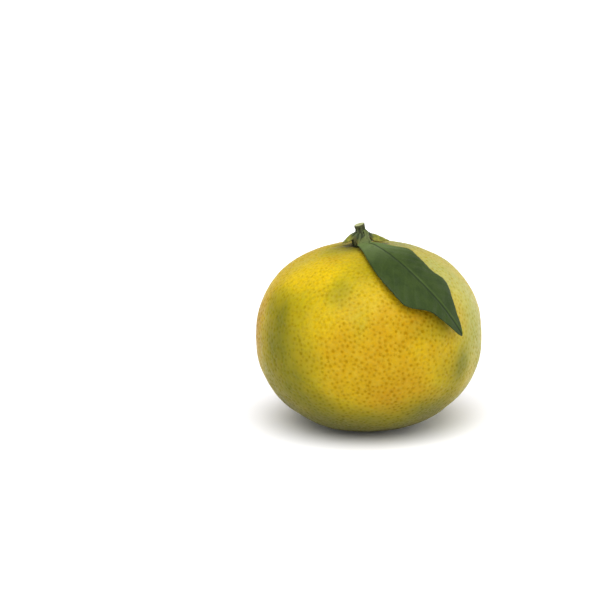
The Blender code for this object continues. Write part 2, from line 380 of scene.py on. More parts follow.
def build_fruit():
    rng = np.random.default_rng(43)
    glands = gland_directions()
    keep = glands[:, 2] > -math.cos(SCAR_EDGE * 1.55)
    glands = glands[keep]
    n = len(glands)
    a, b = sphere_axes(glands)
    width = 0.51 * np.exp(rng.normal(0.0, 0.14, n))  # mm
    width = np.clip(width, 0.35, 0.64)
    depth = 0.24 * width * rng.uniform(0.65, 1.30, n)  # mm
    tone = np.clip(rng.normal(0.70, 0.15, n), 0.25, 1.0)
    away, _ = from_stem(glands)
    depth *= 0.35 + 0.65 * step(4.0, 12.0, away)
    oval = np.sqrt(rng.uniform(1.0, 1.45, n))
    lean = rng.uniform(0, math.pi, n)
    dirs, sink, pits = [glands], [depth], [tone]
    for sides, reach in ((5, 0.50), (6, 1.0), (5, 1.55)):
        first = rng.uniform(0, 2 * math.pi, n)
        for k in range(sides):
            turn = first + 2 * math.pi * k / sides
            wobble = rng.uniform(0.86, 1.14, n)
            rho = width * reach * wobble / 30.5
            x, y = rho * oval * np.cos(turn), rho / oval * np.sin(turn)
            c, s = np.cos(lean), np.sin(lean)
            dirs.append(
                unit(
                    glands
                    + (x * c - y * s)[:, None] * a
                    + (x * s + y * c)[:, None] * b
                )
            )
            fall = np.full(n, math.exp(-(reach**2)))
            sink.append(depth * fall)
            pits.append(tone * fall)
    dirs.append(
        np.stack(
            (
                math.sin(SCAR_EDGE) * np.cos(np.arange(SCAR_SIDES) * 2 * math.pi / SCAR_SIDES),
                math.sin(SCAR_EDGE) * np.sin(np.arange(SCAR_SIDES) * 2 * math.pi / SCAR_SIDES),
                np.full(SCAR_SIDES, -math.cos(SCAR_EDGE)),
            ),
            1,
        )
    )
    sink.append(np.zeros(SCAR_SIDES))
    pits.append(np.zeros(SCAR_SIDES))
    d = np.concatenate(dirs)
    sink, pit = np.concatenate(sink), np.concatenate(pits)
    inside = d[:, 2] > -math.cos(SCAR_EDGE * 1.12)
    inside[-SCAR_SIDES:] = True
    d, sink, pit = d[inside], sink[inside], pit[inside]
    # Neighbours on the peel are neighbours in this flat picture of the sphere.
    flat = d[:, :2] / (1.0 + d[:, 2:3])
    made = geometry.delaunay_2d_cdt([Vector(q) for q in flat.tolist()], [], [], 0, 1e-9)
    origin = np.array([o[0] for o in made[3]])
    faces = [tuple(f) for f in made[2]]
    d, sink, pit = d[origin], sink[origin], pit[origin]
    # The scar at the stylar end closes the bottom with rings.
    rim_at = {int(o): k for k, o in enumerate(origin)}
    first = inside.sum() - SCAR_SIDES
    last = [rim_at[first + k] for k in range(SCAR_SIDES)]
    extra = []
    base = len(d)
    for ring, share in enumerate((0.78, 0.55, 0.3)):
        turn = np.arange(SCAR_SIDES) * 2 * math.pi / SCAR_SIDES
        s = math.sin(SCAR_EDGE * share)
        extra.append(
            np.stack(
                (s * np.cos(turn), s * np.sin(turn), -np.sqrt(1 - s * s) + 0 * turn), 1
            )
        )
        row = [base + ring * SCAR_SIDES + k for k in range(SCAR_SIDES)]
        for k in range(SCAR_SIDES):
            j = (k + 1) % SCAR_SIDES
            faces.append((last[k], last[j], row[j], row[k]))
        last = row
    extra.append(np.array([[0.0, 0.0, -1.0]]))
    tip = base + 3 * SCAR_SIDES
    for k in range(SCAR_SIDES):
        faces.append((last[k], last[(k + 1) % SCAR_SIDES], tip))
    extra = np.concatenate(extra)
    d = np.concatenate((d, extra))
    sink = np.concatenate((sink, np.zeros(len(extra))))
    pit = np.concatenate((pit, np.zeros(len(extra))))

    radius = peel_radius(d)
    p = d * radius[:, None]
    away, around = from_stem(d)
    quiet = step(2.0, 9.0, away)
    swell = ripples(5, 13.0)(p) * 0.11 + ripples(6, 5.0)(p) * 0.045 * quiet
    # a low ridge where the peel was pushed up by each sepal, and fine wrinkles
    swell += 0.05 * (1 - quiet) * ripples(8, 1.6)(p)
    p = d * (radius - 0.12 + swell - sink)[:, None]
    # The stylar scar: a small dished disc with a raised edge.
    from_tip = np.hypot(p[:, 0], p[:, 1])
    under = p[:, 2] < 0
    dish = 0.45 * bell(from_tip / 3.0) + 0.10 * bell((from_tip - 1.15) / 0.35)
    dish -= 0.22 * bell((from_tip - 1.7) / 0.45)
    # The flat spot: the peel is pressed level where it meets the table.
    floor = -REST_HEIGHT + 0.004
    lift = np.log1p(np.exp(np.clip((p[:, 2] - floor) / 0.16, -40, 40))) * 0.16
    level = floor + np.where(p[:, 2] - floor > 3.0, p[:, 2] - floor, lift)
    p[:, 2] = np.where(under, level + np.where(from_tip < 7.5, dish + 0.10 * sink, 0.0), p[:, 2])

    scar = bell(from_tip / 1.35) * under
    colours = skin_colours(d)
    made = make_object(
        "fruit_skin",
        p,
        faces,
        {
            "pit": pit,
            "green": colours["green"],
            "warm": colours["warm"],
            "pale_and_sheen": colours["pale_and_sheen"],
            "scar": scar,
            "bright": colours["bright"],
            "calyx_shade": step(10.0, 4.4, away),
            "low_shade": colours["low_shade"],
        },
    )
    made.data.materials.append(peel_material())
    return made


# Patches of the peel that have stayed green, and patches that are more orange,
# some marked below as painted shade: longitude from +X and latitude in degrees,
# half widths along both in mm, lean in degrees, strength.
GREEN_PATCHES = (
    (-141, 20, 4.2, 5.0, 8, 0.80),
    (-145, 7, 6.5, 8.0, 0, 0.80),
    (-131, 14, 8.0, 9.0, 0, 0.26),
    (-126, 0, 7.0, 8.0, 0, 0.46),
    (-152, 68, 6.0, 5.0, 0, 0.55),
    (48, 66, 6.0, 6.0, 0, 0.45),
    # painted shadow of the leaf on the peel, together with the warm patch at (-62, 20)
    (-57, 17, 8.0, 4.5, 12, 0.38),
    (-52, -4, 5.0, 5.0, 0, 0.20),
    (-49, 12, 4.0, 4.0, 0, 0.20),
    (-137, -6, 7.5, 8.0, 0, 0.60),
    (-128, -22, 10.0, 7.5, 0, 0.86),
    (-112, -31, 11.0, 5.5, 0, 0.74),
    (-150, -18, 8.0, 9.0, 0, 0.65),
    (-36, -4, 4.8, 7.0, 0, 0.82),
    (-43, -16, 6.0, 7.0, 20, 0.34),
    (-54, -30, 10.0, 6.5, 0, 0.85),
    (-24, 14, 5.0, 9.0, 0, 0.40),
    (-152, 24, 5.0, 6.0, 0, 0.42),
    (-129, 29, 5.0, 5.0, 0, 0.22),
    (-108, 35, 3.8, 5.2, 0, 0.60),
    (-94, 21, 3.6, 6.0, -8, 0.25),
    (-94, 52, 8.0, 8.0, 0, 0.34),
    (-60, 38, 7.0, 4.0, 0, 0.30),
    (-84, -45, 18.0, 6.0, 0, 0.75),
    (150, 22, 8.0, 10.0, 15, 0.70),
    (128, 34, 6.0, 5.0, 0, 0.45),
    (104, -6, 7.0, 10.0, -10, 0.55),
    (60, 12, 9.0, 6.0, 25, 0.60),
    (38, -14, 8.0, 9.0, 0, 0.72),
    (12, 32, 5.0, 7.0, 0, 0.45),
    (168, -14, 9.0, 7.0, 0, 0.55),
    (84, 40, 4.0, 6.0, 0, 0.35),
    (0, -30, 10.0, 6.0, 0, 0.60),
    (120, -34, 12.0, 6.0, 0, 0.60),
)
WARM_PATCHES = (
    (-84, 6, 15.0, 11.0, 0, 0.55),
    (-74, -18, 13.0, 10.0, 0, 0.70),
    # more orange skin, darkened by the green patch at (-57, 17) into painted shadow of the leaf
    (-62, 20, 9.0, 6.0, -20, 0.75),
    (-168, 14, 5.5, 13.0, 0, 0.95),
    (-104, 4, 12.0, 8.0, 0, 0.30),
    (85, 15, 14.0, 10.0, 0, 0.50),
    (20, 8, 9.0, 7.0, 0, 0.55),
    (135, -12, 9.0, 8.0, 0, 0.55),
    (-10, -8, 9.0, 7.0, 0, 0.35),
)


# Patches of pale yellow-green skin, partly painted sheen where the peel turns away on the right and
# at the crest.
PALE_SHEEN_PATCHES = (
    (-28, 46, 9.0, 12.0, 0, 0.85),
    (-14, 20, 7.0, 14.0, 0, 0.75),
    (-22, 3, 7.0, 10.0, 0, 0.55),
    (-13, -14, 5.0, 12.0, 0, 0.60),
    (10, 72, 7.0, 6.0, 0, 0.60),
    (36, 62, 7.0, 7.0, 0, 0.70),
    (16, 43, 7.0, 9.0, 0, 0.70),
    (110, 48, 8.0, 6.0, 0, 0.40),
    (-160, 50, 5.0, 6.0, 0, 0.25),
)
# Patches of the peel that are the lightest lemon yellow.
BRIGHT_PATCHES = (
    (-146, 44, 11.0, 8.0, 0, 0.95),
    (-174, 30, 6.0, 8.0, 0, 0.75),
    (-120, 45, 6.0, 6.0, 0, 0.40),
    (60, 40, 9.0, 7.0, 0, 0.55),
    (140, 0, 8.0, 7.0, 0, 0.45),
    (15, -6, 8.0, 8.0, 0, 0.40),
)
# Painted shade: patches, most of them low on the peel, of a deeper, dull green.
LOW_SHADE_PATCHES = (
    (-150, -34, 8.0, 6.0, 0, 0.62),
    (-124, -38, 9.0, 5.5, 0, 0.45),
    (-104, -44, 9.0, 5.0, 0, 0.42),
    (-44, -38, 8.0, 6.0, 0, 0.50),
    (-28, -27, 6.0, 7.0, 0, 0.32),
    (-175, -22, 7.0, 9.0, 0, 0.28),
    (10, 73, 6.0, 5.0, 0, 0.38),
    (70, -40, 12.0, 7.0, 0, 0.40),
    (150, -42, 10.0, 6.0, 0, 0.45),
)


def patches(d, table):
    lat = np.arcsin(np.clip(d[:, 2], -1, 1))
    lon = np.arctan2(d[:, 1], d[:, 0])
    clear = np.ones(len(d))
    for east, north, wide, high, lean, strength in table:
        off = (lon - math.radians(east) + math.pi) % (2 * math.pi) - math.pi
        x = off * np.cos(lat) * 32.0
        y = (lat - math.radians(north)) * 32.0
        c, s = math.cos(math.radians(lean)), math.sin(math.radians(lean))
        u, v = x * c + y * s, y * c - x * s
        clear *= 1.0 - strength * np.exp(-((u / wide) ** 2 + (v / high) ** 2))
    return 1.0 - clear


def skin_colours(d):
    p = d * 31.0
    rough_edge = ripples(11, 9.0)(p) * 0.10 + ripples(12, 3.0)(p) * 0.03
    green = patches(d, GREEN_PATCHES)
    green = np.clip(green + rough_edge * (0.15 + green), 0.0, 1.0)
    away, _ = from_stem(d)
    crown = 0.34 * bell(away / 10.5)
    # the peel turns greener toward the bottom, partly painted shade
    base = 0.90 * step(-0.24, -0.82, d[:, 2])
    green = 1.0 - (1.0 - green) * (1.0 - crown) * (1.0 - base)
    warm = patches(d, WARM_PATCHES) + ripples(13, 9.0)(p) * 0.12
    # paler near the stem, more on the right: partly pale skin, partly painted sheen
    pale_and_sheen = 0.5 * bell(away / 9.0) * (0.6 + 0.4 * d[:, 0] / 0.4).clip(0.2, 1.2)
    pale_and_sheen = pale_and_sheen + patches(d, PALE_SHEEN_PATCHES)
    return {
        "green": green,
        "warm": np.clip(warm, 0, 1),
        "pale_and_sheen": np.clip(pale_and_sheen, 0, 1),
        "bright": patches(d, BRIGHT_PATCHES),
        # painted shade: a deeper, dull green toward the bottom and in the patches
        "low_shade": 1.0
        - (1.0 - patches(d, LOW_SHADE_PATCHES)) * (1.0 - 0.60 * step(-0.58, -0.92, d[:, 2])),
    }


def peel_material():
    s = Shader("mandarin_peel")
    pit, green = s.number("pit"), s.number("green")
    warm, pale_and_sheen, scar = s.number("warm"), s.number("pale_and_sheen"), s.number("scar")
    cloud = s.noise(0.16, 4.0, 0.55)
    fine = s.noise(0.75, 3.0, 0.6)
    grain = s.noise(3.2, 2.0, 0.5)
    # lemon to orange
    hue = s.math("ADD", warm, s.spread(cloud, 0.3, 0.7, -0.14, 0.16))
    colour = s.mix(
        s.math("MULTIPLY", hue, 1.0, clamp=True), (0.482, 0.340, 0.003), (0.402, 0.224, 0.001)
    )
    colour = s.mix(s.number("bright"), colour, (0.62, 0.45, 0.006))
    # the green that is left, softly mottled
    mottled = s.math("ADD", green, s.spread(fine, 0.3, 0.7, -0.06, 0.06))
    fresh = s.mix(1.0, colour, (0.81, 0.93, 1.0), "MULTIPLY")
    colour = s.mix(s.spread(mottled, 0.0, 0.45), colour, fresh)
    amount = s.spread(mottled, 0.12, 1.0)
    leafy = s.mix(s.spread(cloud, 0.35, 0.65), (0.132, 0.136, 0.005), (0.165, 0.156, 0.005))
    colour = s.mix(amount, colour, leafy)
    # pale yellow-green skin, partly painted sheen on the right flank and the crest
    colour = s.mix(s.math("MULTIPLY", pale_and_sheen, 0.95, clamp=True), colour, (0.310, 0.362, 0.145))
    # painted shade low on the peel, as a deeper, dull green
    colour = s.mix(s.number("low_shade"), colour, (0.062, 0.070, 0.026))
    # dark green skin around the calyx, darkened further by painted shade of the calyx
    calyx_shade = s.number("calyx_shade")
    colour = s.mix(s.math("MULTIPLY", calyx_shade, 0.9), colour, (0.072, 0.080, 0.006))
    # the skin between the glands is uneven: paler specks of painted sheen on the raised skin, and
    # deeper specks
    dull = s.math("MAXIMUM", amount, s.number("low_shade"))
    sheen_specks = s.math("MULTIPLY", s.spread(fine, 0.35, 0.75, 0.0, 0.24), s.spread(dull, 0, 1, 1, 0.35))
    colour = s.mix(sheen_specks, colour, (0.59, 0.46, 0.085))
    specks = s.noise(1.5, 2.0, 0.5)
    worn = s.spread(specks, 0.35, 0.70, 0.0, 0.30)
    worn = s.math("MULTIPLY", worn, s.spread(dull, 0, 1, 1, 0.3))
    colour = s.mix(worn, colour, (0.27, 0.19, 0.002))
    colour = s.mix(s.spread(grain, 0.25, 0.75, 0.0, 0.16), colour, (0.28, 0.18, 0.003))
    # oil glands are darker and deeper in colour, partly their own colour and partly painted shade in
    # the pits, most of all where the peel is ripe
    pit_shade = s.mix(1.0, colour, (0.72, 0.67, 0.02), "MULTIPLY")
    ripe = s.math("MULTIPLY", s.spread(hue, -0.1, 0.5, 0.48, 1.0), s.spread(pit, 0.0, 0.9))
    colour = s.mix(ripe, colour, pit_shade)
    # dry scar under the fruit
    colour = s.mix(s.spread(scar, 0.25, 0.75), colour, (0.16, 0.10, 0.035))
    rough = s.spread(s.noise(0.5, 3.0), 0.3, 0.7, 0.36, 0.48)
    relief = s.bump(fine, 0.07, 0.6)
    relief = s.bump(grain, 0.025, 0.6, relief)
    s.feed(
        Base_Color=colour,
        Roughness=rough,
        Normal=relief,
        Specular_IOR_Level=s.spread(s.math("MAXIMUM", pit, calyx_shade), 0.15, 0.9, 0.14, 0.04),
        Subsurface_Weight=0.08,
        Subsurface_Radius=(0.003, 0.0015, 0.0004),
        Subsurface_Scale=0.5,
        Sheen_Weight=0.04,
        Sheen_Roughness=0.35,
        Sheen_Tint=(0.92, 0.95, 0.80, 1.0),
    )
    return s.material


# ------------------------------------------------------------------ the calyx
CALYX_TURNS = 240
CALYX_SHARES = np.array(
    [0.0, 0.07, 0.15, 0.24, 0.33, 0.42, 0.51, 0.6, 0.69, 0.78, 0.86, 0.93, 0.98, 1.0]
)


def sepal_blend(turn):
    """Reach, arch, droop, edge reach and place across the nearest sepal."""
    reach = arch = droop = weight = 0.0
    edge, across = CALYX_WAIST, 1.0
    for direction, length, half, bend, hang in SEPALS:
        off = (math.degrees(turn) - direction + 180.0) % 360.0 - 180.0
        share = math.exp(-((off / 24.0) ** 2)) + 1e-6
        reach += share * length
        arch += share * bend
        droop += share * hang
        weight += share
        if abs(off) < half:
            size = (1.0 - (abs(off) / half) ** 1.5) ** 0.9
            edge = max(edge, CALYX_WAIST + (length - CALYX_WAIST) * size)
        if abs(off) < abs(across) * half:
            across = off / half
    return reach / weight, arch / weight, droop / weight, edge, across


def build_calyx():
    shares = CALYX_SHARES
    rough = ripples(21, 1.5)
    fine = ripples(22, 0.6)
    rings, edge_mark, root_mark, crease_mark, under_mark = [], [], [], [], []
    rib_mark = []
    bore = 1.45
    for k in range(CALYX_TURNS):
        turn = 2 * math.pi * k / CALYX_TURNS
        reach, arch, droop, edge, across = sepal_blend(turn)
        ragged = 0.10 * math.sin(7 * turn + 1.0) + 0.06 * math.sin(23 * turn)
        edge = edge + ragged * min(1.0, (edge - 2.4) / 2.0)
        rho = bore + (edge - bore) * shares
        x = STEM_OFFSET + rho * math.cos(turn)
        y = rho * math.sin(turn)
        u = np.clip((rho - 2.15) / (reach - 2.15), 0.0, 1.0)
        thick = 0.72 + (0.30 - 0.72) * u
        thick = thick * (0.35 + 0.65 * np.sqrt(np.clip(1.0 - shares**6, 0.0, 1.0)))
        tip_x = np.array([STEM_OFFSET + reach * math.cos(turn)])
        tip_y = np.array([reach * math.sin(turn)])
        low = peel_height(tip_x, tip_y)[0] + 0.80
        top = CALYX_TOP - (CALYX_TOP - low) * u**arch
        # sepals are folded along the middle and hang at their sides, and ribs
        # run down from the stem
        top = top - droop * abs(across) ** 1.6 * step(1.9, 4.2, rho)
        ribs = 0.16 * math.cos(11 * turn + 0.7) * step(1.5, 1.9, rho)
        ribs = ribs * (1.0 - step(2.6, 4.4, rho)) + 0.10 * bell(across / 0.22) * step(
            2.4, 3.4, rho
        )
        top = top + ribs - 0.25 * bell((rho - 1.45) / 0.35)
        peel = peel_height(x, y)
        top = np.maximum(top, peel + thick + 0.06)
        upper = np.stack((x, y, top), 1)
        upper[:, 2] += 0.05 * rough(upper) + 0.02 * fine(upper)
        # the middle is one solid button that sits on the peel
        solid = step(3.3, 2.5, rho)
        below = (upper[:, 2] - thick) * (1 - solid) + (peel - 0.05) * solid
        under = np.stack((x, y, below), 1)
        rings.append(np.vstack((upper, under[::-1])))
        n = len(shares)
        edge_mark.append(np.r_[shares, shares[::-1]])
        root_mark.append(np.r_[rho, rho[::-1]])
        crease_mark.append(np.full(2 * n, float(bell(across / 0.14))))
        rib_mark.append(np.full(2 * n, 0.5 + 0.5 * math.cos(11 * turn + 0.7)))
        under_mark.append(np.r_[np.zeros(n), np.ones(n)])
    count = 2 * len(shares)
    points = np.vstack(rings)
    faces = ring_faces(CALYX_TURNS, count, close_rows=True)
    made = make_object(
        "calyx_star",
        points,
        faces,
        {
            "edge": np.concatenate(edge_mark),
            "reach": np.concatenate(root_mark),
            "crease": np.concatenate(crease_mark),
            "ribs": np.concatenate(rib_mark),
            "under": np.concatenate(under_mark),
        },
    )
    made.data.materials.append(sepal_material())
    return made


def sepal_material():
    s = Shader("mandarin_sepal")
    edge, reach = s.number("edge"), s.number("reach")
    crease, under = s.number("crease"), s.number("under")
    blotch = s.noise(0.9, 4.0, 0.6)
    fibre = s.noise(3.0, 3.0, 0.6, 0.6)
    colour = s.mix(s.spread(blotch, 0.32, 0.68), (0.105, 0.120, 0.016), (0.245, 0.235, 0.030))
    colour = s.mix(s.math("MULTIPLY", crease, 0.35), colour, (0.26, 0.27, 0.08))
    # painted shade: the calyx's middle is darkened, a little less along its ribs
    hub_shade = s.mix(s.spread(fibre, 0.35, 0.65), (0.022, 0.032, 0.009), (0.042, 0.058, 0.018))
    hub_shade = s.mix(s.spread(s.number("ribs"), 0.2, 0.9), hub_shade, (0.070, 0.090, 0.034))
    colour = s.mix(s.spread(reach, 2.5, 4.2, 1.0, 0.0), colour, hub_shade)
    dry = s.math("ADD", s.spread(edge, 0.92, 1.0), s.spread(fibre, 0.5, 0.8, 0.0, 0.25))
    colour = s.mix(s.math("MULTIPLY", dry, 0.40, clamp=True), colour, (0.12, 0.085, 0.025))
    # painted shade under the sepals
    colour = s.mix(s.math("MULTIPLY", under, 0.5), colour, (0.035, 0.040, 0.012))
    relief = s.bump(fibre, 0.06, 0.8)
    relief = s.bump(s.noise(9.0, 2.0), 0.02, 0.6, relief)
    s.feed(
        Base_Color=colour,
        Roughness=s.spread(fibre, 0.3, 0.7, 0.52, 0.70),
        Normal=relief,
        Specular_IOR_Level=0.3,
    )
    return s.material


# ------------------------------------------------------------------- the stem
STEM_RADII = (  # height share, radius
    (0.0, 2.2), (0.2, 2.0), (0.4, 1.86), (0.5, 1.76), (0.6, 1.60),
    (0.7, 1.42), (0.78, 1.32), (0.85, 1.32), (0.92, 1.50), (0.965, 1.60),
    (1.0, 1.53),
)  # fmt: skip


def build_stem():
    around, rows = 144, 64
    turn = np.linspace(0.0, 2 * math.pi, around, endpoint=False)
    bark = ripples(31, 1.1)
    grain = ripples(32, 0.45)
    rings, cut, height, ridges = [], [], [], []
    for share in np.linspace(0.0, 1.0, rows):
        radius = float(smooth_curve(STEM_RADII, np.array([share]))[0])
        twist = turn + 0.35 * share
        ridge = (0.5 + 0.5 * np.cos(7 * twist + 0.9 + 0.5 * np.sin(2 * twist))) ** 1.8
        fade = 1.0 - 0.80 * step(0.84, 0.97, share)
        r = radius * (0.90 + 0.20 * ridge * fade)
        x, y = r * np.cos(turn), r * np.sin(turn)
        z = STEM_FOOT + (STEM_CUT - STEM_FOOT) * share + 0 * x
        slant = math.tan(STEM_CUT_SLOPE) * x + math.tan(STEM_CUT_TILT) * y
        z = z + slant * step(0.55, 1.0, share)
        p = np.stack((STEM_OFFSET + 0.1 + STEM_LEAN * share**2 + x, y, z), 1)
        outward = np.stack((np.cos(turn), np.sin(turn), 0 * turn), 1)
        stretched = p * np.array((1.0, 1.0, 0.35))
        calm = 1.0 - 0.6 * step(0.9, 1.0, share)
        p += outward * ((0.06 * bark(stretched) + 0.025 * grain(stretched)) * calm)[
            :, None
        ]
        rings.append(p)
        cut.append(np.zeros(around))
        height.append(np.full(around, share))
        ridges.append(ridge * fade + 1.0 - fade)
    # the cut face: a crisp rim, wood that dips to a small pith
    rim = rings[-1]
    middle = rim.mean(0)
    for share, dip in (
        (0.965, 0.035), (0.92, 0.03), (0.84, 0.0), (0.74, -0.015), (0.62, -0.02),
        (0.5, -0.03), (0.38, -0.035), (0.27, -0.045), (0.18, -0.08), (0.1, -0.11),
    ):  # fmt: skip
        p = middle + (rim - middle) * share
        p[:, 2] += dip + 0.012 * grain(p * 2.0)
        rings.append(p)
        cut.append(np.ones(around))
        height.append(np.full(around, 1.0))
        ridges.append(np.ones(around))
    rows = len(rings)
    points = np.vstack(rings + [middle[None, :] + (0, 0, -0.12), rings[0].mean(0)[None, :]])
    faces = ring_faces(rows, around)
    last, tip, foot = (rows - 1) * around, rows * around, rows * around + 1
    for k in range(around):
        j = (k + 1) % around
        faces.append((last + k, last + j, tip))
        faces.append((j, k, foot))
    made = make_object(
        "stem_stub",
        points,
        faces,
        {
            "cut": np.r_[np.concatenate(cut), 1.0, 0.0],
            "height": np.r_[np.concatenate(height), 1.0, 0.0],
            "ridge": np.r_[np.concatenate(ridges), 1.0, 0.0],
            "radius": np.r_[
                np.concatenate([np.linalg.norm(r - r.mean(0), axis=1) for r in rings]),
                0.0,
                2.0,
            ],
        },
    )
    made.data.set_sharp_from_angle(angle=math.radians(60))
    made.data.materials.append(stem_material())
    return made


def stem_material():
    s = Shader("mandarin_stem")
    cut, height, radius = s.number("cut"), s.number("height"), s.number("radius")
    place = s.place()
    long = s.node(
        "ShaderNodeMapping", {"Vector": place, "Scale": (1.0, 1.0, 0.28)}
    ).outputs[0]
    streak = s.noise(1.6, 4.0, 0.6, 0.4, long)
    speck = s.noise(5.0, 3.0, 0.6)
    ridge = s.number("ridge")
    bark = s.mix(s.spread(streak, 0.33, 0.66), (0.055, 0.070, 0.024), (0.100, 0.120, 0.046))
    # painted shade in the grooves between the ridges
    bark = s.mix(s.spread(ridge, 0.05, 0.7, 0.85, 0.0), bark, (0.022, 0.025, 0.008))
    bark = s.mix(s.spread(speck, 0.5, 0.75, 0.0, 0.45), bark, (0.060, 0.045, 0.020))
    bark = s.mix(s.spread(height, 0.82, 0.93, 0.0, 0.45), bark, (0.045, 0.035, 0.014))
    # the pale cut wood, with a darker rim of bark, faint rings and a pith
    ringing = s.math("SINE", s.math("MULTIPLY", radius, 19.0))
    wood = s.mix(s.spread(ringing, -1.0, 1.0, 0.0, 0.35), (0.37, 0.385, 0.205), (0.29, 0.295, 0.135))
    wood = s.mix(s.spread(radius, 0.12, 0.3, 1.0, 0.0), wood, (0.19, 0.17, 0.07))
    wood = s.mix(s.spread(radius, 1.30, 1.46, 0.0, 0.85), wood, (0.12, 0.125, 0.045))
    wood = s.mix(s.spread(speck, 0.55, 0.75, 0.0, 0.4), wood, (0.21, 0.19, 0.08))
    colour = s.mix(s.spread(cut, 0.3, 0.7), bark, wood)
    relief = s.bump(streak, 0.12, 0.9)
    relief = s.bump(speck, 0.03, 0.8, relief)
    s.feed(
        Base_Color=colour,
        Roughness=s.spread(speck, 0.3, 0.7, 0.62, 0.82),
        Normal=relief,
        Specular_IOR_Level=0.3,
    )
    return s.material


# ------------------------------------------------------------------- the leaf
PETIOLE_HALF = 0.62
LEAF_ROWS = 250
HALF_COLUMNS = 34


def rib_station(path, t):
    m = smooth_curve(path, t)
    tangent = unit(smooth_curve(path, t + 0.05) - smooth_curve(path, t - 0.05))
    normal = peel_normal(m)
    normal = unit(normal - (normal * tangent).sum(1)[:, None] * tangent)
    return m, tangent, normal, np.cross(tangent, normal)


def blade_points(path, t, share, start, length):
    along = t - start
    m, _, normal, side = rib_station(path, t)
    left = share >= 0
    ends = ((length, 0.05),)
    half = np.where(
        left,
        smooth_curve(LEFT_HALF + ends, along),
        smooth_curve(RIGHT_HALF + ends, along),
    )
    # the margin has shallow, rounded teeth
    half = half * (1.0 + 0.005 * np.sin(2 * math.pi * along / 2.3 + 1.7 * left))
    rib = smooth_curve(RIB_LIFT, along)
    rim = np.where(
        left, smooth_curve(LEFT_LIFT, along), smooth_curve(RIGHT_LIFT, along)
    )
    lift = rib + (rim - rib) * np.abs(share) ** 1.5
    # slow waves of the margin
    wave = 0.10 * np.sin(2 * math.pi * along / 8.5 + 2.2 * left) * step(2.0, 9.0, along)
    lift = lift + wave * np.abs(share) ** 3 * step(length, length - 6.0, along)
    reach = share * half
    q = m + reach[:, None] * side
    for _ in range(3):
        p = on_peel(q, lift)
        q = q + (reach - ((p - m) * side).sum(1))[:, None] * side
    return on_peel(q, lift), normal, reach, half


VEIN_PITCH = 4.1


def vein_pattern(along, reach):
    """0 between the side veins, 1 on them, and the swell between them."""
    s = np.abs(reach)
    lead = along - 0.62 * s - 0.030 * s**2 - np.where(reach > 0, 0.0, 1.9)
    lead = lead + 0.35 * np.sin(along * 0.7 + 2.0 * (reach > 0)) + 1.1
    off = (lead / VEIN_PITCH + 0.5) % 1.0 - 0.5
    gap = np.abs(off) * VEIN_PITCH * 0.8
    fade = step(0.2, 1.2, s) * step(44.0, 36.0, along) * step(0.0, 3.0, along)
    return bell(gap / 0.17) * fade, np.cos(off * 2 * math.pi) * fade, gap


